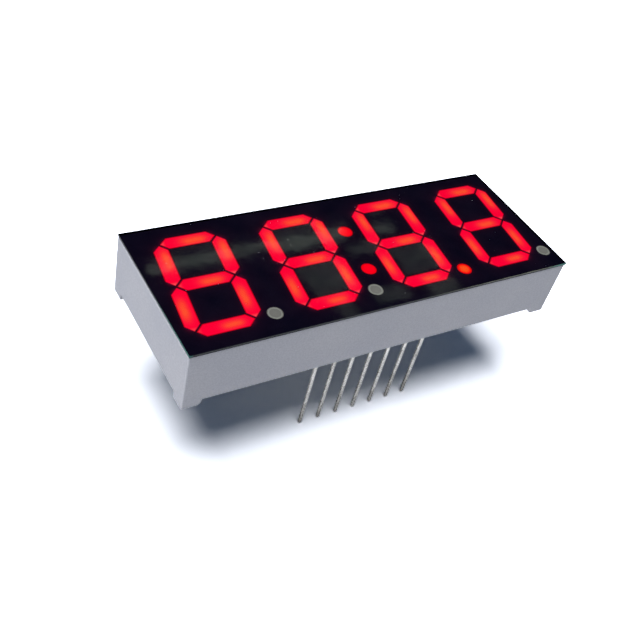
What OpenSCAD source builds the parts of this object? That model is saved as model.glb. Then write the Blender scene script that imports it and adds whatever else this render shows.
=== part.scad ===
// Four-digit seven-segment display with a colon, lit face up, on a 2.54 mm pin grid.
// Origin: on the board surface under the feet, at the centre of the pin grid.
// +X runs along the row of digits, +Y up the digits and +Z out of the face. Millimetres.

/* [Body] */
// Length of the housing
body_l = 50.3; // [49.9:0.1:52]
// Width of the housing
body_w = 19; // [18.2:0.1:20]
// Height from the board surface to the front of the film
body_h = 8; // [7.4:0.1:9]
// Thickness of the four side walls
wall = 1; // [0.7:0.05:1.15]
// Radius of the four upright corner edges
corner_r = 0.2; // [0.1:0.05:0.5]
// Bevel round the front edge of the housing
front_bevel = 0.15; // [0.05:0.05:0.25]
// Depth of the rear cavity, from the rim to the reflector deck
rear_depth = 2.4; // [2.1:0.1:3]

/* [Feet] */
// Height of the four corner feet below the rim
foot_h = 0.8; // [0.4:0.1:1.2]
// Length of a foot along the housing
foot_l = 2.25; // [1.5:0.05:3]
// Width of a foot across the housing
foot_w = 2; // [1.5:0.1:3]
// Radius on the inner toe of the two left feet
left_toe_r = 0.6; // [0.1:0.05:0.7]
// Radius on the inner toe of the two right feet
right_toe_r = 0.15; // [0.05:0.05:0.6]

/* [Digits] */
// Distance from one digit to the next
digit_pitch = 12.7; // [12.4:0.05:12.8]
// Distance between the left and right upright segments
upright_span = 6.85; // [6.4:0.05:7.2]
// Distance from a level segment to the next one up
level_span = 6.7; // [6.2:0.05:6.8]
// Width of a segment
stroke = 1.75; // [1.4:0.05:1.9]
// Black gap between neighbouring segments
segment_gap = 0.22; // [0.15:0.01:0.4]
// Lean of the digits to the right, in degrees
lean = 6.8; // [0:0.1:9]
// Distance that the row of digits sits to the right of the housing's middle
row_right = 0.1; // [-0.1:0.02:0.16]
// Distance that the row of digits sits above the housing's middle
row_up = 0.1; // [-0.1:0.02:0.2]

/* [Points and colon] */
// Diameter of a decimal point or a colon dot
dot_d = 1.82; // [1.2:0.02:1.9]
// Distance from a digit's middle to its decimal point, along the face
point_x = 4.83; // [4.75:0.01:4.88]
// Distance from a digit's middle down to its decimal point
point_drop = 6.6; // [6.3:0.05:7]
// Distance between the two colon dots
colon_span = 6.66; // [4:0.02:8]

/* [Light wells] */
// Length of a segment's well at the circuit board
well_floor_l = 2.4; // [1.6:0.1:3.6]
// Width of a segment's well at the circuit board
well_floor_w = 1; // [0.8:0.05:1.3]
// Diameter of a dot's well at the circuit board
dot_floor_d = 1.3; // [1.1:0.05:1.6]

/* [Chips and bond wires] */
// Side of a light-emitting chip
chip_w = 0.3; // [0.2:0.05:0.5]
// Height of a light-emitting chip
chip_h = 0.15; // [0.1:0.05:0.3]
// Thickness of a bond wire
wire_t = 0.05; // [0.03:0.01:0.08]
// Height that a bond wire loops above its chip
wire_rise = 0.2; // [0.1:0.05:0.4]
// Distance from the chip to the pad where its wire lands
wire_reach = 0.42; // [0.3:0.01:0.48]

/* [Circuit board] */
// Thickness of the circuit board
board_t = 1; // [0.6:0.1:1.2]
// Clearance between the circuit board and the side walls
board_gap = 0.15; // [0.05:0.05:0.3]
// Depth of the potting resin's surface below the rim
resin_recess = 0.3; // [0.1:0.05:0.5]

/* [Pins] */
// Distance from one pin to the next in a row
pin_pitch = 2.54; // [2.4:0.01:2.7]
// Distance from the housing's long side to the middle of a row of pins
row_inset = 1.88; // [1.8:0.01:2.1]
// Number of pins in a row
pins_per_row = 7; // [4:1:8]
// Diameter of a pin
pin_d = 0.5; // [0.4:0.01:0.55]
// Length of a pin's square root that stands out of the resin
root_proud = 0.25; // [0.2:0.05:0.5]
// Gap that solder fills between a pin's square root and its drilled hole
hole_gap = 0.09; // [0.04:0.01:0.12]
// Length of a pin below the board surface
pin_below = 11.4; // [3:0.1:14]
// Length of the taper at a pin's tip
pin_taper = 0.3; // [0.1:0.05:0.6]
// Diameter of the flat at a pin's tip
pin_tip_d = 0.26; // [0.1:0.02:0.36]

/* [Solder] */
// Diameter of a solder joint on the circuit board
solder_d = 1.3; // [1:0.05:1.6]
// Height of a solder joint
solder_h = 0.7; // [0.3:0.05:0.9]
// Solder left round the pin at the top of a joint
solder_lip = 0.08; // [0.04:0.01:0.15]

/* [Face] */
// Thickness of the black printed mask
mask_t = 0.1; // [0.05:0.01:0.2]
// Clear border of the film round the mask
mask_border = 0.05; // [0.05:0.01:0.3]
// Thickness of the clear film
film_t = 0.25; // [0.1:0.05:0.4]
// Distance that the film reaches past the housing's lower side
film_lip = 0.1; // [0:0.01:0.2]
// Distance that the film stays short of the housing's upper side
film_step = 0.05; // [0:0.01:0.2]

/* [Hidden] */
$fn = 48;
digit_count = 4;
digits = [0 : digit_count - 1];
// Segments a to g: a is the top one, b to f follow clockwise, g is the middle one.
segment_names = ["a", "b", "c", "d", "e", "f", "g"];
segments = [0 : len(segment_names) - 1];
// Each segment's place in its digit, as steps of half the upright span and half the level span.
segment_steps = [[0, 2], [1, 1], [1, -1], [0, -2], [-1, -1], [-1, 1], [0, 0]];
pin_count = 2 * pins_per_row;
pins = [0 : pin_count - 1];

// Heights of the layers, from the board surface up
resin_z = foot_h + resin_recess;
root_z = resin_z - root_proud;
deck_z = foot_h + rear_depth;
board_z = deck_z - board_t;
housing_z = body_h - film_t - mask_t;
film_z = body_h - film_t;
well_depth = housing_z - deck_z;

cavity_l = body_l - 2 * wall;
cavity_w = body_w - 2 * wall;
row_span = body_w - 2 * row_inset;

// A pin's root is coined square from the same wire, so its section keeps the wire's area.
pin_root_w = pin_d * sqrt(PI) / 2;
pin_root_diagonal = pin_root_w * sqrt(2);
hole_d = pin_root_diagonal + 2 * hole_gap;
// A cut runs this far past the face that it opens.
over = 0.1;

// Half the tip-to-tip distance between two segments that meet end to end
tip_inset = segment_gap / sqrt(2);
level_half = upright_span / 2 - tip_inset;
upright_half = level_span / 2 - tip_inset;

function is_upright(s) = segment_steps[s][0] != 0;
function leaned(p) = [p[0] + p[1] * tan(lean), p[1]];
function digit_x(d) = row_right + (d - (digit_count - 1) / 2) * digit_pitch;

// The middle of a segment on the face
function segment_at(d, s) =
    let (step = segment_steps[s])
    [digit_x(d), row_up] + leaned([step[0] * upright_span / 2, step[1] * level_span / 2]);

// A segment is a bar with a point at each end. Its outline runs round its own middle.
function bar(half, side) =
    let (shoulder = half - side)
    [[half, 0], [shoulder, side], [-shoulder, side], [-half, 0], [-shoulder, -side], [shoulder, -side]];
function bar_outline(s, half, side) =
    [for (p = bar(half, side)) leaned(is_upright(s) ? [-p[1], p[0]] : p)];
function face_outline(s) = bar_outline(s, is_upright(s) ? upright_half : level_half, stroke / 2);
function floor_outline(s) = bar_outline(s, well_floor_l / 2, well_floor_w / 2);

// The four decimal points, then the upper and the lower dot of the colon
function point_at(d) = [digit_x(d) + point_x, row_up - point_drop];
function colon_at(up) = [row_right, row_up] + leaned([0, up * colon_span / 2]);
dot_places = concat([for (d = digits) point_at(d)], [colon_at(1), colon_at(-1)]);
dot_names = concat([for (d = digits) str("decimal_point_", d + 1)], ["colon_upper", "colon_lower"]);
dots = [0 : len(dot_names) - 1];

// Every chip sits under the middle of a segment or a dot; its wire runs along X or Y.
chip_places = concat(
    [for (d = digits) for (s = segments) [segment_at(d, s), is_upright(s) ? 90 : 0]],
    [for (place = dot_places) [place, 0]]);

// Pin 1 is at the lower left; the numbers run right along the lower row and back along the upper one.
function in_lower_row(i) = i < pins_per_row;
function pin_column(i) = in_lower_row(i) ? i : pin_count - 1 - i;
function pin_at(i) = [
    (pin_column(i) - (pins_per_row - 1) / 2) * pin_pitch,
    (in_lower_row(i) ? -1 : 1) * row_span / 2];

function segment_node(d, s) = str("digit_", d + 1, "_segment_", segment_names[s]);
function pin_node(i) = str("pin_", i + 1);

// A rectangle with round corners, centred
module round_rect(l, w, r) {
    square([l - 2 * r, w], center = true);
    square([l, w - 2 * r], center = true);
    for (x = [-1, 1]) for (y = [-1, 1])
        translate([x * (l / 2 - r), y * (w / 2 - r)]) circle(r);
}

// Cuts a bevel along one front edge of a block that reaches half_w from the middle
module edge_bevel(half_w, l) {
    translate([-l / 2, half_w, housing_z])
        rotate([90, 0, 90])
            linear_extrude(l)
                polygon([[-front_bevel, 0], [0, -front_bevel], [over, -front_bevel],
                         [over, over], [-front_bevel, over]]);
}

module front_bevels() {
    for (turn = [0, 180]) rotate(turn) edge_bevel(body_w / 2, body_l + 2 * over);
    for (turn = [90, -90]) rotate(turn) edge_bevel(body_l / 2, body_w + 2 * over);
}

// Side view of a foot: a tab from the end wall inwards, with its inner toe rounded
module foot_profile(toe_r) {
    square([foot_l - toe_r, foot_h + over]);
    translate([0, toe_r]) square([foot_l, foot_h + over - toe_r]);
    translate([foot_l - toe_r, toe_r]) circle(toe_r);
}

module foot(toe_r) {
    translate([-body_l / 2, -body_w / 2 + foot_w, 0])
        rotate([90, 0, 0])
            linear_extrude(foot_w) foot_profile(min(toe_r, foot_h));
}

module feet() {
    intersection() {
        union() {
            for (y = [0, 1]) mirror([0, y, 0]) foot(left_toe_r);
            for (y = [0, 1]) mirror([0, y, 0]) mirror([1, 0, 0]) foot(right_toe_r);
        }
        linear_extrude(2 * foot_h) round_rect(body_l, body_w, corner_r);
    }
}

// A straight-sided solid between two outlines of as many points, lower at the origin's height
module tapered_solid(lower, upper, h) {
    n = len(lower);
    corners = [for (i = [0 : n - 1]) i];
    polyhedron(
        points = concat([for (p = lower) concat(p, 0)], [for (p = upper) concat(p, h)]),
        faces = concat(
            [corners, [for (i = corners) 2 * n - 1 - i]],
            [for (i = corners) [i, n + i, n + (i + 1) % n, (i + 1) % n]]));
}

// The space of one segment's well, from the circuit board up to the face
module segment_well(d, s) {
    translate(concat(segment_at(d, s), deck_z))
        tapered_solid(floor_outline(s), face_outline(s), well_depth);
}

// A straight prism on one of a segment's outlines
module segment_prism(d, s, outline, z, h) {
    translate(concat(segment_at(d, s), z)) linear_extrude(h) polygon(outline);
}

module dot_well(k) {
    translate(concat(dot_places[k], deck_z)) cylinder(h = well_depth, d1 = dot_floor_d, d2 = dot_d);
}

module dot_prism(k, z, h, d) {
    translate(concat(dot_places[k], z)) cylinder(h = h, d = d);
}

// White moulding: the side walls, the four feet and the deck with its tapered light wells
module housing() {
    color("gainsboro") difference() {
        union() {
            translate([0, 0, foot_h])
                linear_extrude(housing_z - foot_h) round_rect(body_l, body_w, corner_r);
            feet();
        }
        front_bevels();
        translate([0, 0, -over])
            linear_extrude(deck_z + over) round_rect(cavity_l, cavity_w, corner_r);
        for (d = digits) for (s = segments) {
            segment_well(d, s);
            segment_prism(d, s, face_outline(s), housing_z, over);
            segment_prism(d, s, floor_outline(s), deck_z - over, over);
        }
        for (k = dots) {
            dot_well(k);
            dot_prism(k, housing_z, over, dot_d);
            dot_prism(k, deck_z - over, over, dot_floor_d);
        }
    }
}

// Outline of the film, less a border, as it lies on the face
module film_outline(border) {
    translate([0, -(film_lip + film_step) / 2])
        square([body_l - 2 * border, body_w + film_lip - film_step - 2 * border], center = true);
}

// Black print under the film, with a window for every segment and dot
module face_mask() {
    color("#17131c") difference() {
        translate([0, 0, housing_z]) linear_extrude(mask_t) film_outline(mask_border);
        for (d = digits) for (s = segments)
            segment_prism(d, s, face_outline(s), housing_z - over, mask_t + 2 * over);
        for (k = dots) dot_prism(k, housing_z - over, mask_t + 2 * over, dot_d);
    }
}

module cover_film() {
    color("#5fa89c", 0.35) translate([0, 0, film_z]) linear_extrude(film_t) film_outline(0);
}

module pin_root(i, z, h) {
    translate(concat(pin_at(i), z)) linear_extrude(h) square(pin_root_w, center = true);
}

module circuit_board() {
    color("#c9b27a") difference() {
        translate([0, 0, board_z])
            linear_extrude(board_t)
                square([cavity_l - 2 * board_gap, cavity_w - 2 * board_gap], center = true);
        for (i = pins)
            translate(concat(pin_at(i), board_z - over)) cylinder(h = board_t + 2 * over, d = hole_d);
    }
}

// Outside of one solder joint: it narrows from the circuit board to a lip round the pin.
module solder_cone(i) {
    translate(concat(pin_at(i), board_z - solder_h))
        cylinder(h = solder_h, d1 = pin_root_diagonal + 2 * solder_lip, d2 = solder_d);
}

// Solder that fills every drilled hole and runs out into a cone behind the circuit board
module solder_joints() {
    color("silver") difference() {
        for (i = pins) {
            solder_cone(i);
            translate(concat(pin_at(i), board_z)) cylinder(h = board_t, d = hole_d);
        }
        for (i = pins) pin_root(i, resin_z, deck_z - resin_z + over);
    }
}

// Potting resin that fills the rear cavity behind the circuit board
module rear_resin() {
    color("#d8d6c8") difference() {
        translate([0, 0, resin_z])
            linear_extrude(board_z - resin_z) round_rect(cavity_l, cavity_w, corner_r);
        for (i = pins) solder_cone(i);
        for (i = pins) pin_root(i, resin_z - over, board_z - resin_z + 2 * over);
    }
}

module chip(place) {
    translate(concat(place, deck_z))
        linear_extrude(chip_h) square(chip_w, center = true);
}

module led_chips() {
    color("#b05a3c") for (c = chip_places) chip(c[0]);
}

// A wire loops from the top of its chip down to a pad on the circuit board.
module bond_wire(place, turn) {
    half = wire_t / 2;
    top = chip_h + wire_rise;
    translate(concat(place, deck_z))
        rotate([90, 0, turn])
            linear_extrude(wire_t, center = true)
                polygon([[-half, chip_h], [-half, top], [wire_reach + half, top], [wire_reach + half, 0],
                         [wire_reach - half, 0], [wire_reach - half, top - wire_t],
                         [half, top - wire_t], [half, chip_h]]);
}

module bond_wires() {
    color("gold") for (c = chip_places) bond_wire(c[0], c[1]);
}

// Clear resin that fills one segment's well and its window in the mask
module segment(d, s) {
    color("red") difference() {
        union() {
            segment_well(d, s);
            segment_prism(d, s, face_outline(s), housing_z, mask_t);
        }
        chip(segment_at(d, s));
        bond_wire(segment_at(d, s), is_upright(s) ? 90 : 0);
    }
}

module dot(k) {
    color(k == 2 || k >= digit_count ? "red" : "gray") difference() {
        union() {
            dot_well(k);
            dot_prism(k, housing_z, mask_t, dot_d);
        }
        chip(dot_places[k]);
        bond_wire(dot_places[k], 0);
    }
}

// Tinned pin: a square root through the resin and the circuit board, then a round length with a tapered tip
module pin(i) {
    color("silver") {
        pin_root(i, root_z, deck_z - root_z);
        translate(concat(pin_at(i), pin_taper - pin_below))
            cylinder(h = root_z - pin_taper + pin_below, d = pin_d);
        translate(concat(pin_at(i), -pin_below)) cylinder(h = pin_taper, d1 = pin_tip_d, d2 = pin_d);
    }
}

housing();
face_mask();
cover_film();
circuit_board();
rear_resin();
for (d = digits) for (s = segments) segment(d, s);
for (k = dots) dot(k);
for (i = pins) pin(i);
led_chips();
bond_wires();
solder_joints();
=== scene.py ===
"""Looks of a lit four-digit seven-segment display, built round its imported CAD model."""

import math

import bmesh
import bpy
from mathutils import Matrix, Vector


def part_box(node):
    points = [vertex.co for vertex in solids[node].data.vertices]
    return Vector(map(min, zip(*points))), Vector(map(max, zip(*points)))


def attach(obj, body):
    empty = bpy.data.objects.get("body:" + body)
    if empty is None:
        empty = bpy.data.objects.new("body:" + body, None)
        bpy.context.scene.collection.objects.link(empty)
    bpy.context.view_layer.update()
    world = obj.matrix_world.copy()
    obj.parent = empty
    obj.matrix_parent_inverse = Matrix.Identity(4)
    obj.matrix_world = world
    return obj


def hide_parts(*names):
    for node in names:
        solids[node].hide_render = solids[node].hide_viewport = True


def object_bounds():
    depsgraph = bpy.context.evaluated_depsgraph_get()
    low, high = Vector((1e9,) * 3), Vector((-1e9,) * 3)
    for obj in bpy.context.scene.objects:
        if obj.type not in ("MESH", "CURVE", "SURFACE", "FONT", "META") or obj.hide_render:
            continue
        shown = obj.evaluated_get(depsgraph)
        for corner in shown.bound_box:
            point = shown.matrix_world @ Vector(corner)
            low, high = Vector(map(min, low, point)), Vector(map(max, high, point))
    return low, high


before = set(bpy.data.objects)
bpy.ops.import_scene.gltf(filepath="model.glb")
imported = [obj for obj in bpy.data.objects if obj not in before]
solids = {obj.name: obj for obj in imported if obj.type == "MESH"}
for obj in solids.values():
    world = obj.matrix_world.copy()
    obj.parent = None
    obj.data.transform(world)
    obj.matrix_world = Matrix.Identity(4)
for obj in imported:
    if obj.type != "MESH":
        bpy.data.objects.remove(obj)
cad_low, cad_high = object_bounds()
MM = 0.001


# ---- Circuit board ----
# A laminate of glass cloth and resin with copper tracks under a lacquer, drilled for the pins.
# The deck of the housing lies on its front, and the potting resin covers its rear.

def fill_in(tree, socket, value):
    """Sets a socket to a number or a colour, or links another node's output to it."""
    if isinstance(value, bpy.types.NodeSocket):
        tree.links.new(value, socket)
    else:
        socket.default_value = value


def add(tree, kind, settings=None, **inputs):
    """Adds one node, a shader node unless kind is a full name, and fills in its inputs."""
    node = tree.nodes.new(kind if "Node" in kind else "ShaderNode" + kind)
    for name, value in (settings or {}).items():
        setattr(node, name, value)
    for name, value in inputs.items():
        fill_in(tree, node.inputs[name.replace("_", " ")], value)
    return node


def place(tree, centre=(0, 0, 0), unit=MM):
    """The surface's own place, counted in units from a centre in metres."""
    where = add(tree, "TexCoord").outputs["Object"]
    return add(tree, "Mapping", {"vector_type": "TEXTURE"}, Vector=where, Location=centre,
               Scale=(unit, unit, unit)).outputs["Vector"]


def noise(tree, where, per_mm, detail=2.0, roughness=0.5):
    """Soft random levels about 0.5, with so many waves to the millimetre."""
    return add(tree, "TexNoise", Vector=where, Scale=per_mm, Detail=detail,
               Roughness=roughness).outputs["Fac"]


def bump(tree, height, depth, strength=1.0):
    """A normal that follows height, whose relief is depth, in metres."""
    return add(tree, "Bump", Height=height, Distance=depth, Strength=strength).outputs["Normal"]


def new_material(name):
    material = bpy.data.materials.new(name)
    material.use_nodes = True
    material.node_tree.nodes.clear()
    return material, material.node_tree


def finish_surface(tree, **inputs):
    """Ends a material in one Principled shader."""
    surface = add(tree, "BsdfPrincipled", **inputs)
    add(tree, "OutputMaterial", Surface=surface.outputs["BSDF"])


def wear(node_name, material):
    """Gives a CAD solid its material."""
    slots = solids[node_name].data.materials
    slots.clear()
    slots.append(material)


board_laminate, tree = new_material("board_laminate")
where = place(tree)
tracks = add(tree, "TexBrick", {"offset": 0.37}, Vector=where, Scale=0.42, Mortar_Size=0.05,
             Color1=(0.30, 0.20, 0.075, 1), Color2=(0.34, 0.23, 0.09, 1),
             Mortar=(0.42, 0.19, 0.07, 1)).outputs["Color"]
cloth = noise(tree, where, per_mm=6.0)
finish_surface(tree, Base_Color=tracks, Roughness=0.45, Normal=bump(tree, cloth, depth=0.02 * MM))
wear("circuit_board", board_laminate)


# ---- Chips and bond wires ----
# One light-emitting crystal sits under every segment and dot, and a gold wire loops down from it.
# All of them are cast into the clear resin of their wells.

def ramp(tree, factor, *stops):
    """A colour for each level of factor. A stop is (level, red, green, blue)."""
    node = add(tree, "ValToRGB", Fac=factor)
    elements = node.color_ramp.elements
    while len(elements) < len(stops):
        elements.new(0.5)
    for element, (level, *colour) in zip(elements, stops):
        element.position = level
        element.color = (*colour, 1)
    return node.outputs["Color"]


chip_crystal, tree = new_material("chip_crystal")
facets = noise(tree, place(tree), per_mm=9.0, detail=3.0)
crystal = ramp(tree, facets, (0.35, 0.36, 0.16, 0.09), (0.65, 0.50, 0.30, 0.20))
finish_surface(tree, Base_Color=crystal, Metallic=0.6, Roughness=0.3)
wear("led_chips", chip_crystal)

bond_gold, tree = new_material("bond_gold")
drawn = noise(tree, place(tree), per_mm=14.0)
gold = ramp(tree, drawn, (0.3, 0.85, 0.55, 0.18), (0.7, 1.0, 0.72, 0.30))
finish_surface(tree, Base_Color=gold, Metallic=1.0, Roughness=0.25)
wear("bond_wires", bond_gold)


# ---- Housing ----
# One moulding in white thermoplastic: four side walls, four feet and the deck with its light wells.
# The mould's fine spark-eroded grain shows on every side, with a few specks of dirt.

def maths(tree, operation, *values):
    """One sum on one, two or three values, each a number or another node's output."""
    node = add(tree, "Math", {"operation": operation})
    for socket, value in zip(node.inputs, values):
        fill_in(tree, socket, value)
    return node.outputs["Value"]


def ranging(tree, value, low, high):
    """Low where a value is nothing, and high where it is one."""
    return maths(tree, "MULTIPLY_ADD", value, high - low, low)


def mixed(tree, share, first, second, blend="MIX"):
    """The second colour over the first. Each is a colour or another node's output."""
    node = add(tree, "Mix", {"data_type": "RGBA", "blend_type": blend}, Factor=share)
    for key, colour in (("A", first), ("B", second)):
        is_output = isinstance(colour, bpy.types.NodeSocket)
        fill_in(tree, node.inputs[key], colour if is_output else (*colour, 1))
    return node.outputs["Result"]


def specks(tree, where, per_mm, channel, clean_share, reach):
    """One on small round specks, each in a cell of its own. A share of the cells is clean."""
    cells = add(tree, "TexVoronoi", Vector=where, Scale=per_mm)
    drawn_lot = add(tree, "SeparateColor", Color=cells.outputs["Color"]).outputs[channel]
    return maths(tree, "MULTIPLY", maths(tree, "GREATER_THAN", drawn_lot, clean_share),
                 maths(tree, "LESS_THAN", cells.outputs["Distance"], reach))


DIRT = (0.13, 0.13, 0.15)
DIRT_COVER = 0.45
white_plastic, tree = new_material("white_plastic")
where = place(tree)
grain = noise(tree, where, per_mm=5.5, detail=3.0, roughness=0.6)
clouds = noise(tree, where, per_mm=0.16)
grain_tint = ramp(tree, grain, (0.30, 0.565, 0.565, 0.605), (0.70, 0.685, 0.685, 0.725))
cloud_tint = ramp(tree, clouds, (0.3, 0.93, 0.94, 0.96), (0.7, 1.0, 1.0, 1.0))
clean_plastic = mixed(tree, 1.0, grain_tint, cloud_tint, "MULTIPLY")
dirt_specks = specks(tree, where, per_mm=0.35, channel="Red", clean_share=0.78, reach=0.028)
plastic = mixed(tree, maths(tree, "MULTIPLY", dirt_specks, DIRT_COVER), clean_plastic, DIRT)
finish_surface(tree, Base_Color=plastic, Roughness=ranging(tree, grain, 0.42, 0.62),
               Normal=bump(tree, grain, depth=0.03 * MM, strength=0.6))
wear("housing", white_plastic)


# ---- Segments ----
# Clear resin cast into each light well. The chip below it makes a warm patch that fades to crimson.
# The patch lies where the chip is bonded, the tip far from it looks paler, and the rim is deep red.

def well_middle(node_name):
    """The middle of a solid on the face."""
    low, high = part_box(node_name)
    return Vector(((low.x + high.x) / 2, (low.y + high.y) / 2, high.z))


def split(tree, vector):
    """The three parts of a vector."""
    return tuple(add(tree, "SeparateXYZ", Vector=vector).outputs)


def bell(tree, value, middle, half, power):
    """The power of how far a value lies from the middle, as a share of half."""
    off = maths(tree, "ABSOLUTE", maths(tree, "SUBTRACT", value, middle))
    return maths(tree, "POWER", maths(tree, "DIVIDE", off, half), power)


def smooth_step(tree, value, start, end, low=0.0, high=1.0):
    """Low up to the start and high from the end, with a smooth way between them."""
    return add(tree, "MapRange", {"interpolation_type": "SMOOTHSTEP"}, Value=value, From_Min=start,
               From_Max=end, To_Min=low, To_Max=high).outputs["Result"]


def rim_depth(tree, along, across):
    """How far a place lies inside a segment's outline, with its straight flanks and mitred tips."""
    from_flank = maths(tree, "SUBTRACT", half_width, maths(tree, "ABSOLUTE", across))
    from_end = maths(tree, "SUBTRACT", half_length, maths(tree, "ABSOLUTE", along))
    from_mitre = maths(tree, "MULTIPLY", math.sqrt(0.5),
                       maths(tree, "SUBTRACT", from_end, maths(tree, "ABSOLUTE", across)))
    return maths(tree, "MINIMUM", from_flank, from_mitre)


def finish_glowing(tree, light):
    """Ends a material in dark resin that gives off a light."""
    finish_surface(tree, Base_Color=(*DARK_RESIN, 1), Roughness=0.5, Specular_IOR_Level=0.0,
                   Emission_Color=light, Emission_Strength=1.0)


def lit_resin(name, centre, upright, patch, paleness, ripples_per_mm):
    """Glowing resin. The patch is its place along, half length, place across and half width."""
    material, tree = new_material(name)
    where = place(tree, centre)
    x, y, _ = split(tree, where)
    slanted = maths(tree, "MULTIPLY_ADD", y, -math.tan(lean), x)
    along, across = (y, slanted) if upright else (slanted, y)
    patch_at, patch_half, patch_side, patch_half_width = patch
    off_patch = maths(tree, "ADD", bell(tree, along, patch_at, patch_half, 3.0),
                      bell(tree, across, patch_side, patch_half_width, 2.0))
    warmth = maths(tree, "EXPONENT", maths(tree, "MULTIPLY", off_patch, -1.0))
    ripple = ranging(tree, noise(tree, where, ripples_per_mm), 0.75, 1.25)
    glow = ramp(tree, maths(tree, "MULTIPLY", warmth, ripple), *CHIP_GLOW)
    pale_share = smooth_step(tree, along, PALE_FROM - half_length, PALE_FULL - half_length, 0.0, paleness)
    body = mixed(tree, pale_share, glow, PALE_TIP)
    rim = smooth_step(tree, rim_depth(tree, along, across), RIM_WIDTH, 0.0)
    finish_glowing(tree, mixed(tree, rim, body, DEEP_RIM))
    return material


level_low, level_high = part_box("digit_1_segment_a")
half_length = (level_high.x - level_low.x) / 2 / MM
half_width = (level_high.y - level_low.y) / 2 / MM
a_middle, g_middle = well_middle("digit_1_segment_a"), well_middle("digit_1_segment_g")
lean = math.atan2(a_middle.x - g_middle.x, a_middle.y - g_middle.y)

DARK_RESIN = (0.04, 0.0, 0.001)
# The resin's light far from the chip, at level 0, and right over it, at level 1
CHIP_GLOW = ((0.0, 1.0, 0.0003, 0.036), (0.25, 1.0, 0.0065, 0.040), (0.5, 1.0, 0.0205, 0.035),
             (0.75, 1.0, 0.044, 0.031), (1.0, 1.0, 0.079, 0.029))
PALE_TIP = (1.0, 0.080, 0.098)
# How far from the tip it begins to look paler, and how far it is palest, in millimetres
PALE_FROM, PALE_FULL = 0.70, 0.18
DEEP_RIM = (0.45, 0.0, 0.002)
RIM_WIDTH = 0.17
# How far the patches stray along their segments, in millimetres, and the radians by which that
# changes from digit to digit
STRAY, STRAY_TURN = 0.14, 2.1
# For each segment: whether it is upright, its patch in millimetres, and how pale its far tip is
SEGMENT_GLOW = {
    "a": (False, (0.75, 1.75, -0.12, 0.75), 0.55),
    "g": (False, (0.70, 1.55, -0.10, 0.70), 0.35),
    "d": (False, (0.60, 1.35, -0.03, 0.58), 0.20),
    "f": (True, (0.80, 1.75, 0.22, 0.62), 0.85),
    "b": (True, (0.85, 1.85, 0.22, 0.62), 0.95),
    "e": (True, (-0.20, 1.75, -0.20, 0.62), 0.45),
    "c": (True, (-0.10, 1.75, -0.20, 0.62), 0.80)}
for digit in (1, 2, 3, 4):
    ripples_per_mm = 0.8 + 0.11 * digit
    for letter, (upright, (patch_at, *patch_rest), paleness) in SEGMENT_GLOW.items():
        piece = f"digit_{digit}_segment_{letter}"
        patch = (patch_at + STRAY * math.sin(STRAY_TURN * digit + ord(letter)), *patch_rest)
        wear(piece, lit_resin(f"lit_{piece}", well_middle(piece), upright, patch, paleness, ripples_per_mm))


# ---- Decimal points and colon ----
# Round wells cast with the same resin. The colon and the third point are lit.
# The others show the grey resin, paler round the rim, where the white wall of the well is near.

def dot_resin(name, centre, stops):
    """Resin in a round well, coloured by stops from its middle to its rim."""
    material, tree = new_material(name)
    where = place(tree, centre)
    x, y, _ = split(tree, where)
    flat = add(tree, "CombineXYZ", X=x, Y=y).outputs["Vector"]
    reach = add(tree, "VectorMath", {"operation": "LENGTH"}, Vector=flat).outputs["Value"]
    cloud = ranging(tree, noise(tree, where, per_mm=1.7), -0.12, 0.12)
    share = maths(tree, "ADD", maths(tree, "DIVIDE", reach, dot_radius), cloud)
    colour = ramp(tree, share, *stops)
    if stops is UNLIT:
        skin = bump(tree, noise(tree, where, per_mm=2.5), depth=0.04 * MM, strength=0.4)
        finish_surface(tree, Base_Color=colour, Roughness=0.5, Specular_IOR_Level=0.0, Normal=skin)
    else:
        finish_glowing(tree, colour)
    return material


dot_low, dot_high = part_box("colon_upper")
dot_radius = (dot_high.x - dot_low.x) / 2 / MM
UNLIT = ((0.0, 0.165, 0.165, 0.150), (0.66, 0.155, 0.155, 0.140), (0.83, 0.25, 0.26, 0.23),
         (0.98, 0.08, 0.075, 0.07))
DULL_RED = ((0.0, 1.0, 0.0, 0.0125), (0.72, 0.99, 0.0, 0.011), (0.95, 0.80, 0.0, 0.003),
            (1.0, 0.5, 0.0, 0.002))
BRIGHT = ((0.0, 1.0, 0.095, 0.013), (0.50, 1.0, 0.070, 0.011), (0.78, 1.0, 0.006, 0.004),
          (1.0, 0.55, 0.0, 0.001))
DOTS = {"decimal_point_1": UNLIT, "decimal_point_2": UNLIT, "decimal_point_3": BRIGHT,
        "decimal_point_4": UNLIT, "colon_upper": DULL_RED, "colon_lower": DULL_RED}
for piece, stops in DOTS.items():
    wear(piece, dot_resin(f"resin_{piece}", well_middle(piece), stops))


# ---- Face mask ----
# Black ink printed on the back of the film, with a window for every segment and dot.
# Round the lit windows a red glow is painted on the ink, standing for their light that creeps sideways.

def axis_gap(tree, value, middle, half):
    """How far a value lies outside the stretch middle - half to middle + half."""
    off = maths(tree, "ABSOLUTE", maths(tree, "SUBTRACT", value, middle))
    return maths(tree, "MAXIMUM", maths(tree, "SUBTRACT", off, half), 0.0)


def hypotenuse(tree, a, b):
    return maths(tree, "SQRT", maths(tree, "MULTIPLY_ADD", a, a, maths(tree, "MULTIPLY", b, b)))


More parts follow.
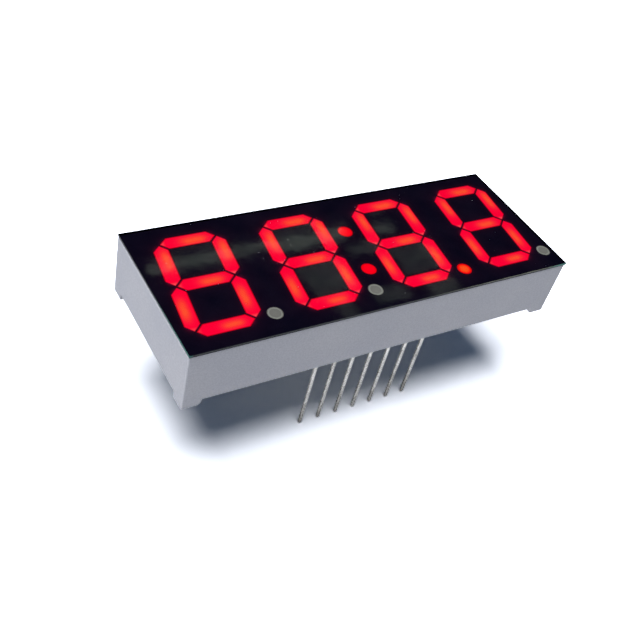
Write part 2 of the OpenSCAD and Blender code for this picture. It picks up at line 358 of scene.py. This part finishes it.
def gap_to_segment(tree, x, y):
    """How far a place on the face is from the nearest segment. The digits are folded into one."""
    up = maths(tree, "SUBTRACT", y, g_middle.y / MM)
    straight_x = maths(tree, "SUBTRACT", x, maths(tree, "MULTIPLY", up, math.tan(lean)))
    in_digit = maths(tree, "WRAP", maths(tree, "SUBTRACT", straight_x, g_middle.x / MM),
                     digit_pitch / 2, -digit_pitch / 2)
    fold_x, fold_y = maths(tree, "ABSOLUTE", in_digit), maths(tree, "ABSOLUTE", up)
    stem = half_length - half_width
    to_level = axis_gap(tree, in_digit, 0.0, stem)
    to_top = hypotenuse(tree, to_level, maths(tree, "SUBTRACT", fold_y, top_y))
    to_middle = hypotenuse(tree, to_level, up)
    to_upright = hypotenuse(tree, axis_gap(tree, fold_y, upright_y, stem),
                            maths(tree, "SUBTRACT", fold_x, upright_x))
    to_stem = maths(tree, "MINIMUM", maths(tree, "MINIMUM", to_top, to_middle), to_upright)
    return maths(tree, "SUBTRACT", to_stem, half_width)


def gap_to_dot(tree, x, y, middle):
    """How far a place on the face is from the rim of a round window."""
    reach = hypotenuse(tree, maths(tree, "SUBTRACT", x, middle.x), maths(tree, "SUBTRACT", y, middle.y))
    return maths(tree, "SUBTRACT", reach, dot_radius)


def fading(tree, gap, per_mm, strength):
    """A painted glow that has its full strength at no gap and fades with it."""
    fall = maths(tree, "EXPONENT", maths(tree, "MULTIPLY", gap, -per_mm))
    return maths(tree, "MULTIPLY", fall, strength)


# The digits' pitch, and where the segments of an upright digit lie from its middle, in millimetres
b_middle = well_middle("digit_1_segment_b")
digit_pitch = (well_middle("digit_2_segment_g").x - g_middle.x) / MM
top_y = (a_middle.y - g_middle.y) / MM
upright_x = (b_middle.x - g_middle.x - (b_middle.y - g_middle.y) * math.tan(lean)) / MM
upright_y = (b_middle.y - g_middle.y) / MM

# Share of blue in the red glow painted on the ink
BLUE_IN_PAINTED_INK_GLOW = 0.12
black_mask, tree = new_material("black_mask")
where = place(tree)
x, y, _ = split(tree, where)
gap = gap_to_segment(tree, x, y)
for lit_dot in ("decimal_point_3", "colon_upper", "colon_lower"):
    gap = maths(tree, "MINIMUM", gap, gap_to_dot(tree, x, y, well_middle(lit_dot) / MM))
# Painted glow: red light painted on the ink, strongest at the edges of the lit windows and fading away from
# them
painted_ink_glow = maths(tree, "ADD", fading(tree, gap, per_mm=6.5, strength=0.017),
              fading(tree, gap, per_mm=0.9, strength=0.0045))
painted_red_ink_glow = add(tree, "CombineColor", Red=painted_ink_glow, Green=0.0,
                Blue=maths(tree, "MULTIPLY", painted_ink_glow, BLUE_IN_PAINTED_INK_GLOW)).outputs["Color"]
ink = ramp(tree, noise(tree, where, per_mm=0.35, detail=3.0),
           (0.3, 0.0022, 0.0022, 0.0078), (0.7, 0.0048, 0.0036, 0.0105))
finish_surface(tree, Base_Color=ink, Roughness=0.7, Specular_IOR_Level=0.0,
               Emission_Color=painted_red_ink_glow, Emission_Strength=1.0)
wear("face_mask", black_mask)


# ---- Cover film ----
# A clear polyester sheet stuck over the whole front, cut with square corners and a rounded arris.
# Its face is glossy with a little dust. Light that runs inside it is painted on its cut edges as a teal
# glow, with an olive highlight along the arris.

def new_object(name, data):
    """An object at the origin that shows a mesh, a lamp or a camera."""
    made = bpy.data.objects.new(name, data)
    bpy.context.scene.collection.objects.link(made)
    return made


def finished_shell(name, shell):
    """An object made of a closed shell, with its normals turned outward."""
    mesh = bpy.data.meshes.new(name)
    bmesh.ops.recalc_face_normals(shell, faces=shell.faces)
    shell.to_mesh(mesh)
    shell.free()
    return new_object(name, mesh)


def sheet_with_arris(name, low, high, arris):
    """A thin slab whose upper edges are rounded off by arris."""
    shell = bmesh.new()
    bmesh.ops.create_cube(shell, size=1.0)
    for corner in shell.verts:
        corner.co = Vector([a if part < 0 else b for part, a, b in zip(corner.co, low, high)])
    upper = [edge for edge in shell.edges
             if all(math.isclose(end.co.z, high.z, abs_tol=1e-7) for end in edge.verts)]
    bmesh.ops.bevel(shell, geom=upper, offset=arris, segments=3, affect="EDGES")
    return finished_shell(name, shell)


def layered(tree, share, under, over):
    """One shader over another, by a share."""
    node = add(tree, "MixShader", Fac=share)
    fill_in(tree, node.inputs[1], under)
    fill_in(tree, node.inputs[2], over)
    return node.outputs["Shader"]


def film_face(tree, where, outside):
    """The film seen through its face: clear, a little wavy, with a mirror and dust on its outside."""
    waves = maths(tree, "ADD", noise(tree, where, per_mm=0.22),
                  maths(tree, "MULTIPLY", noise(tree, where, per_mm=1.1), FINE_WAVES))
    normal = bump(tree, waves, depth=0.012 * MM)
    clear = add(tree, "BsdfTransparent", Color=(1, 1, 1, 1)).outputs["BSDF"]
    gloss = add(tree, "BsdfGlossy", Color=(1, 1, 1, 1), Roughness=0.05, Normal=normal).outputs["BSDF"]
    mirror = add(tree, "Fresnel", IOR=1.5, Normal=normal).outputs["Fac"]
    face = layered(tree, maths(tree, "MULTIPLY", mirror, outside), clear, gloss)
    clean_share = smooth_step(tree, noise(tree, where, per_mm=0.12, detail=1.0), 0.38, 0.62, 0.50, 0.86)
    dust_specks = specks(tree, where, per_mm=1.1, channel="Green", clean_share=clean_share, reach=0.055)
    dust = add(tree, "BsdfDiffuse", Color=(0.80, 0.80, 0.82, 1)).outputs["BSDF"]
    dust_share = maths(tree, "MULTIPLY", maths(tree, "MULTIPLY", dust_specks, outside), DUST_COVER)
    return layered(tree, dust_share, face, dust)


def film_edge(tree, where, backfacing, outside):
    """The film's cut sides: dark, with a painted olive highlight along the arris and a painted teal glow at
    both ends.
    """
    x, y, z = split(tree, where)
    # Painted olive highlight along the arris, and painted teal glow at the right end and the front of the
    # left end
    painted_highlight_share = maths(tree, "MULTIPLY", smooth_step(tree, x, 2.0, 18.0),
                        smooth_step(tree, z, film_high.z / MM - 0.16, film_high.z / MM - 0.04))
    painted_teal_right = smooth_step(tree, x, 21.5, film_high.x / MM)
    painted_teal_left = maths(tree, "MULTIPLY", smooth_step(tree, x, -24.6, -25.1),
                       smooth_step(tree, y, 1.0, -8.0, 0.0, 0.55))
    painted_olive_highlight = ramp(tree, noise(tree, where, per_mm=0.9), (0.35, 0.13, 0.14, 0.085), (0.65, 0.30, 0.31, 0.20))
    painted_arris_tint = mixed(tree, painted_highlight_share, DARK_CUT, painted_olive_highlight)
    painted_teal_tint = mixed(tree, maths(tree, "MAXIMUM", painted_teal_right, painted_teal_left), painted_arris_tint, PAINTED_TEAL_GLOW)
    cut_tint = mixed(tree, backfacing, painted_teal_tint, INSIDE_OF_CUT)
    return add(tree, "BsdfPrincipled", Base_Color=cut_tint, Roughness=0.35,
               Specular_IOR_Level=maths(tree, "MULTIPLY", outside, 0.5)).outputs["BSDF"]


def outline_depth(tree, where):
    """How far a place lies inside the film's outline."""
    depths = []
    for part, low, high in zip(split(tree, where)[:2], film_low, film_high):
        off = maths(tree, "ABSOLUTE", maths(tree, "SUBTRACT", part, (low + high) / 2 / MM))
        depths.append(maths(tree, "SUBTRACT", (high - low) / 2 / MM, off))
    return maths(tree, "MINIMUM", *depths)


film_low, film_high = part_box("cover_film")
GLUE_LINE = 0.02 * MM
ARRIS = 0.03 * MM
FINE_WAVES = 0.10
DUST_COVER = 0.9
DARK_CUT = (0.006, 0.010, 0.011)
# The teal painted on the cut ends as glow
PAINTED_TEAL_GLOW = (0.055, 0.34, 0.27)
INSIDE_OF_CUT = (0.001, 0.001, 0.002)
# Past the ink, in a border this many millimetres wide, the film shows only the dark inside of its edge
INK_BORDER = 0.08
# A cut side begins where the surface is less level than this. The face is level at 1.
LEVEL_AT_SIDE = 0.75

clear_film, tree = new_material("clear_film")
where = place(tree)
geometry = add(tree, "NewGeometry").outputs
backfacing = geometry["Backfacing"]
outside = maths(tree, "SUBTRACT", 1.0, backfacing)
levelness = maths(tree, "ABSOLUTE", split(tree, geometry["Normal"])[2])
dark_within = maths(tree, "MULTIPLY", backfacing,
                    maths(tree, "LESS_THAN", outline_depth(tree, where), INK_BORDER))
is_edge = maths(tree, "MAXIMUM", dark_within, maths(tree, "LESS_THAN", levelness, LEVEL_AT_SIDE))
film_surface = layered(tree, is_edge, film_face(tree, where, outside),
                       film_edge(tree, where, backfacing, outside))
add(tree, "OutputMaterial", Surface=film_surface)
wear("cover_film", clear_film)

film_sheet = sheet_with_arris("film_sheet", film_low + Vector((0, 0, GLUE_LINE)), film_high, ARRIS)
film_sheet.data.materials.append(clear_film)
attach(film_sheet, "root")
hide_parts("cover_film")


# ---- Pins and solder ----
# Drawn wire with a hot-dipped tin coat, cut off and rounded at the tip, soldered into the board.
# The coat is bright with a grainy skin, and it turns darker towards the pins' tips.

def tinned_metal(name, bright, dull, grain_per_mm, depth):
    """Tin with a grainy skin that varies from bright to dull, and turns darker towards a pin's lower end.
    """
    material, tree = new_material(name)
    where = place(tree)
    skin = noise(tree, where, grain_per_mm, detail=4.0, roughness=0.65)
    blotches = noise(tree, where, per_mm=0.5)
    shine = maths(tree, "MULTIPLY_ADD", skin, SKIN_IN_SHINE,
                  maths(tree, "MULTIPLY", blotches, 1 - SKIN_IN_SHINE))
    height = split(tree, where)[2]
    # The colour turns darker towards the pin's tip
    darker_to_tip = smooth_step(tree, height, DARKER_BELOW, cad_low.z / MM, 0.0, 0.10)
    coat = ramp(tree, maths(tree, "SUBTRACT", shine, darker_to_tip), (0.38, *dull), (0.56, *bright))
    finish_surface(tree, Base_Color=coat, Metallic=1.0, Roughness=ranging(tree, skin, 0.22, 0.57),
                   Normal=bump(tree, skin, depth, strength=0.8))
    return material


SKIN_IN_SHINE = 0.7
# The height, in millimetres, below which a pin grows darker towards its tip
DARKER_BELOW = -6.0
tinned_pin = tinned_metal("tinned_pin", bright=(0.90, 0.88, 0.83), dull=(0.36, 0.34, 0.31),
                          grain_per_mm=5.0, depth=0.06 * MM)
PINS = [f"pin_{number}" for number in range(1, 15)]
for piece in PINS:
    wear(piece, tinned_pin)
solder = tinned_metal("solder", bright=(0.75, 0.75, 0.74), dull=(0.50, 0.50, 0.50),
                      grain_per_mm=3.0, depth=0.03 * MM)
wear("solder_joints", solder)


# ---- Potting resin ----
# Epoxy poured into the rear cavity over the board and cured there. It is milky and faintly yellow.
# Its skin is smooth and a little wavy.

potting_resin, tree = new_material("potting_resin")
where = place(tree)
milk = noise(tree, where, per_mm=0.3, detail=3.0)
swell = noise(tree, where, per_mm=0.45, detail=1.0)
finish_surface(tree, Base_Color=ramp(tree, milk, (0.3, 0.56, 0.53, 0.43), (0.7, 0.66, 0.64, 0.55)),
               Roughness=ranging(tree, milk, 0.14, 0.26),
               Normal=bump(tree, swell, depth=0.2 * MM, strength=0.5))
wear("rear_resin", potting_resin)


# ---- Resin collars ----
# Before it cured, the resin crept down every pin and left a small hollow-sided collar round it.
# All the collars have one section, and each is a little larger or smaller than the next.

def turned(name, profile, steps):
    """A ring turned about Z from a closed profile of (radius, depth), in millimetres."""
    shell = bmesh.new()
    rows = []
    for step in range(steps):
        turn = math.tau * step / steps
        rows.append([shell.verts.new((radius * MM * math.cos(turn), radius * MM * math.sin(turn),
                                      -depth * MM)) for radius, depth in profile])
    for step in range(steps):
        row, next_row = rows[step], rows[(step + 1) % steps]
        for start in range(len(profile)):
            end = (start + 1) % len(profile)
            shell.faces.new((row[start], next_row[start], next_row[end], row[end]))
    return finished_shell(name, shell)


def copies(name, pattern, points, scatter, material):
    """One piece made of a copy of pattern at each point, varied in size by scatter."""
    tree = bpy.data.node_groups.new(name, "GeometryNodeTree")
    kinds = {"Points": "Geometry", "Pattern": "Object", "Scatter": "Float", "Finish": "Material"}
    for label, kind in kinds.items():
        tree.interface.new_socket(label, in_out="INPUT", socket_type="NodeSocket" + kind)
    tree.interface.new_socket("Copies", in_out="OUTPUT", socket_type="NodeSocketGeometry")
    given = add(tree, "NodeGroupInput").outputs
    shape = add(tree, "GeometryNodeObjectInfo", Object=given["Pattern"]).outputs["Geometry"]
    size = add(tree, "FunctionNodeRandomValue", Seed=0)
    smallest, largest, drawn_size = size.inputs[2], size.inputs[3], size.outputs[1]
    fill_in(tree, smallest, maths(tree, "SUBTRACT", 1.0, given["Scatter"]))
    fill_in(tree, largest, maths(tree, "ADD", 1.0, given["Scatter"]))
    stood = add(tree, "GeometryNodeInstanceOnPoints", Points=given["Points"], Instance=shape,
                Scale=drawn_size).outputs["Instances"]
    joined = add(tree, "GeometryNodeRealizeInstances", Geometry=stood).outputs["Geometry"]
    finished = add(tree, "GeometryNodeSetMaterial", Geometry=joined,
                   Material=given["Finish"]).outputs["Geometry"]
    add(tree, "NodeGroupOutput", Copies=finished)

    mesh = bpy.data.meshes.new(name)
    mesh.from_pydata(points, [], [])
    made = new_object(name, mesh)
    modifier = made.modifiers.new(name, "NODES")
    modifier.node_group = tree
    for label, value in (("Pattern", pattern), ("Scatter", scatter), ("Finish", material)):
        modifier[tree.interface.items_tree[label].identifier] = value
    bpy.context.view_layer.update()
    evaluated = made.evaluated_get(bpy.context.evaluated_depsgraph_get())
    plain_mesh = bpy.data.meshes.new_from_object(evaluated)
    made.modifiers.clear()
    made.data = plain_mesh
    bpy.data.objects.remove(pattern)
    return made


# The collar's profile: distance from the pin's middle and depth below the resin, in millimetres
COLLAR = ((0.22, -0.03), (0.60, -0.03), (0.60, -0.01), (0.50, 0.015), (0.42, 0.05), (0.36, 0.10),
          (0.33, 0.17), (0.22, 0.19))
COLLAR_STEPS = 32
COLLAR_SCATTER = 0.12
resin_low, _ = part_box("rear_resin")
at_pins = [(well_middle(piece).x, well_middle(piece).y, resin_low.z) for piece in PINS]
collar = turned("collar", COLLAR, COLLAR_STEPS)
resin_collars = copies("resin_collars", collar, at_pins, COLLAR_SCATTER, potting_resin)
for face in resin_collars.data.polygons:
    face.use_smooth = True
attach(resin_collars, "root")


# ---- Stage ----
# A white floor at the pins' tips, a broad soft lamp overhead, a low fill from the left and a blue sky.
# Faint pale shapes hang above and behind the object, and only its glossy face shows them.

def stage_sheet(name, middle, half_x, half_y):
    """A level rectangle that isn't part of the object."""
    mesh = bpy.data.meshes.new(name)
    mesh.from_pydata([(middle.x + side_x * half_x, middle.y + side_y * half_y, middle.z)
                      for side_x, side_y in ((-1, -1), (1, -1), (1, 1), (-1, 1))], [], [(0, 1, 2, 3)])
    made = new_object(name, mesh)
    return made


def lamp(name, toward, energy, angle, colour):
    """A distant soft lamp that shines from a direction, its angle in degrees."""
    made = new_object(name, bpy.data.lights.new(name, "SUN"))
    made.data.energy = energy
    made.data.angle = math.radians(angle)
    made.data.color = colour
    made.rotation_euler = Vector(toward).to_track_quat("Z", "Y").to_euler()
    return made


def keep_off(light, unlit_object):
    """Stops a lamp from lighting an object."""
    unlit = bpy.data.collections.new(f"not_lit_by_{light.name}")
    unlit.objects.link(unlit_object)
    unlit.collection_objects[0].light_linking.link_state = "EXCLUDE"
    light.light_linking.receiver_collection = unlit


FLOOR_REACH = 6.0
# The floor's brightness as it is seen, as a mirror shows it, and as it lights its surroundings
FLOOR_SEEN, FLOOR_MIRRORED, FLOOR_BOUNCED = 2.0, 0.8, 0.03
FLOOR_RED, FLOOR_BLUE = 0.97, 1.07
floor = stage_sheet("floor", Vector((0, 0, cad_low.z)), FLOOR_REACH, FLOOR_REACH)
floor_paint, tree = new_material("floor_paint")
rays = add(tree, "LightPath").outputs
shown_tone = ranging(tree, rays["Is Camera Ray"], FLOOR_MIRRORED, FLOOR_SEEN)
bounce_cut = maths(tree, "MULTIPLY", rays["Is Diffuse Ray"], FLOOR_MIRRORED - FLOOR_BOUNCED)
tone = maths(tree, "SUBTRACT", shown_tone, bounce_cut)
floor_tint = add(tree, "CombineColor", Red=maths(tree, "MULTIPLY", tone, FLOOR_RED), Green=tone,
                 Blue=maths(tree, "MULTIPLY", tone, FLOOR_BLUE)).outputs["Color"]
paint = add(tree, "BsdfDiffuse", Color=floor_tint)
add(tree, "OutputMaterial", Surface=paint.outputs["BSDF"])
floor.data.materials.append(floor_paint)

softbox = lamp("softbox", toward=(-0.14, 0.035, 1.0), energy=3.2, angle=46, colour=(1, 1, 1))
# The glossy film would mirror the softbox as a grey veil when it is seen from above
keep_off(softbox, film_sheet)
fill = lamp("fill", toward=(-0.87, -0.60, 0.15), energy=2.10, angle=20, colour=(0.93, 0.95, 1.0))
keep_off(fill, floor)

# As light the sky is a dim blue. The camera sees it white, and a mirror sees it darken upwards.
world = bpy.data.worlds.new("sky")
bpy.context.scene.world = world
world.use_nodes = True
tree = world.node_tree
tree.nodes.clear()
rays = add(tree, "LightPath").outputs
up = split(tree, add(tree, "TexCoord").outputs["Generated"])[2]
mirrored_sky = ramp(tree, up, (0.0, 1.0, 1.0, 1.0), (0.14, 0.70, 0.71, 0.74), (0.36, 0.035, 0.037, 0.05))
seen_sky = mixed(tree, rays["Is Camera Ray"], mirrored_sky, (1.0, 1.0, 1.0))
is_seen = maths(tree, "MAXIMUM", rays["Is Camera Ray"],
                maths(tree, "MAXIMUM", rays["Is Glossy Ray"], rays["Is Transmission Ray"]))
soft_sky = add(tree, "Background", Color=(0.34, 0.57, 1.0, 1), Strength=0.062).outputs["Background"]
shown_sky = add(tree, "Background", Color=seen_sky, Strength=1.0).outputs["Background"]
add(tree, "OutputWorld", Surface=layered(tree, is_seen, soft_sky, shown_sky))

# The camera's place and its own right and down, with a lens for a square picture
CAMERA_AT = Vector((-54.650, -60.665, 69.368)) * MM
CAMERA_RIGHT = Vector((0.849359, -0.485538, 0.206985))
CAMERA_DOWN = Vector((-0.208515, -0.668919, -0.713491))
camera = new_object("camera", bpy.data.cameras.new("camera"))
camera.data.lens = 49.70
camera.data.sensor_width = 36
camera.data.clip_start = 5 * MM
camera_ahead = CAMERA_RIGHT.cross(CAMERA_DOWN).normalized()
camera_axes = Matrix((CAMERA_RIGHT, -CAMERA_DOWN, -camera_ahead)).transposed()
camera.matrix_world = Matrix.Translation(CAMERA_AT) @ camera_axes.to_4x4()
bpy.context.scene.camera = camera


def between(tree, value, start, end, soft):
    """One inside a stretch, with a soft fall to nothing at both ends."""
    return maths(tree, "MULTIPLY", smooth_step(tree, value, start - soft, start + soft),
                 smooth_step(tree, value, end + soft, end - soft))


# The surroundings are painted on one card above the face. What the camera sees of it in the face
# stands at growth times its place on the face, counted from card_middle.
CARD_ABOVE_FACE = 180 * MM
CARD_HALF_X, CARD_HALF_Y = 30 * MM, 14 * MM
camera_above_face = CAMERA_AT.z - film_high.z
growth = (camera_above_face + CARD_ABOVE_FACE) / camera_above_face
card_middle = Vector((CAMERA_AT.x, CAMERA_AT.y, 0)) * (1 - growth)
card_height = Vector((0, 0, film_high.z + CARD_ABOVE_FACE))
card = stage_sheet("surroundings", card_middle + card_height, CARD_HALF_X * growth, CARD_HALF_Y * growth)
card.visible_camera = card.visible_diffuse = card.visible_shadow = card.visible_transmission = False

# Pale shapes as the face shows them, in millimetres on it: left, right, bottom, top and brightness
PALE_SHAPES = (
    (-24.3, -9.5, 2.5, 4.1, 0.42), (-21.2, -15.2, 1.9, 3.2, 0.25), (-9.5, 0.1, 1.9, 4.2, 0.50),
    (-8.6, -2.8, 4.9, 5.4, 0.34), (-21.0, -16.0, 4.8, 5.3, 0.22), (4.1, 6.6, 1.5, 3.6, 0.34),
    (5.0, 7.2, 5.2, 5.6, 0.26), (-1.0, 2.8, -0.8, 0.9, 0.22), (-8.8, -3.4, -5.7, -1.0, 0.24),
    (3.6, 8.8, -5.6, -1.0, 0.19), (8.0, 8.6, -5.4, -1.2, 0.22), (-7.6, -5.5, -10.5, -7.3, 0.22),
    (-2.4, 2.0, -9.0, -6.9, 0.20), (4.4, 8.8, -9.6, -7.4, 0.26))
SOFT_SIDES, SOFT_ENDS = 0.35, 0.15
SWAY = 0.7
card_paint, tree = new_material("card_paint")
on_face = place(tree, card_middle, growth * MM)
sway = ranging(tree, noise(tree, on_face, per_mm=0.35), -SWAY, SWAY)
x, y, _ = split(tree, on_face)
swayed_x = maths(tree, "ADD", x, sway)
swayed_y = maths(tree, "MULTIPLY_ADD", sway, 0.5, y)
light = None
for left, right, bottom, top, brightness in PALE_SHAPES:
    inside = maths(tree, "MULTIPLY", between(tree, swayed_x, left, right, SOFT_SIDES),
                   between(tree, swayed_y, bottom, top, SOFT_ENDS))
    shape = maths(tree, "MULTIPLY", inside, brightness)
    light = maths(tree, "ADD", light, shape) if light else shape
streaks = add(tree, "Mapping", Vector=on_face, Rotation=(0, 0, 0.2), Scale=(0.35, 1.5, 1)).outputs["Vector"]
streak_level = ranging(tree, noise(tree, streaks, per_mm=1.0, detail=4.0), -0.40, 3.0)
smears = maths(tree, "MAXIMUM", streak_level, 0.0)
glow = add(tree, "Emission", Color=(0.84, 1.0, 0.80, 1), Strength=maths(tree, "MULTIPLY", light, smears))
add(tree, "OutputMaterial", Surface=glow.outputs["Emission"])
card.data.materials.append(card_paint)

bpy.context.scene.view_settings.view_transform = "Standard"
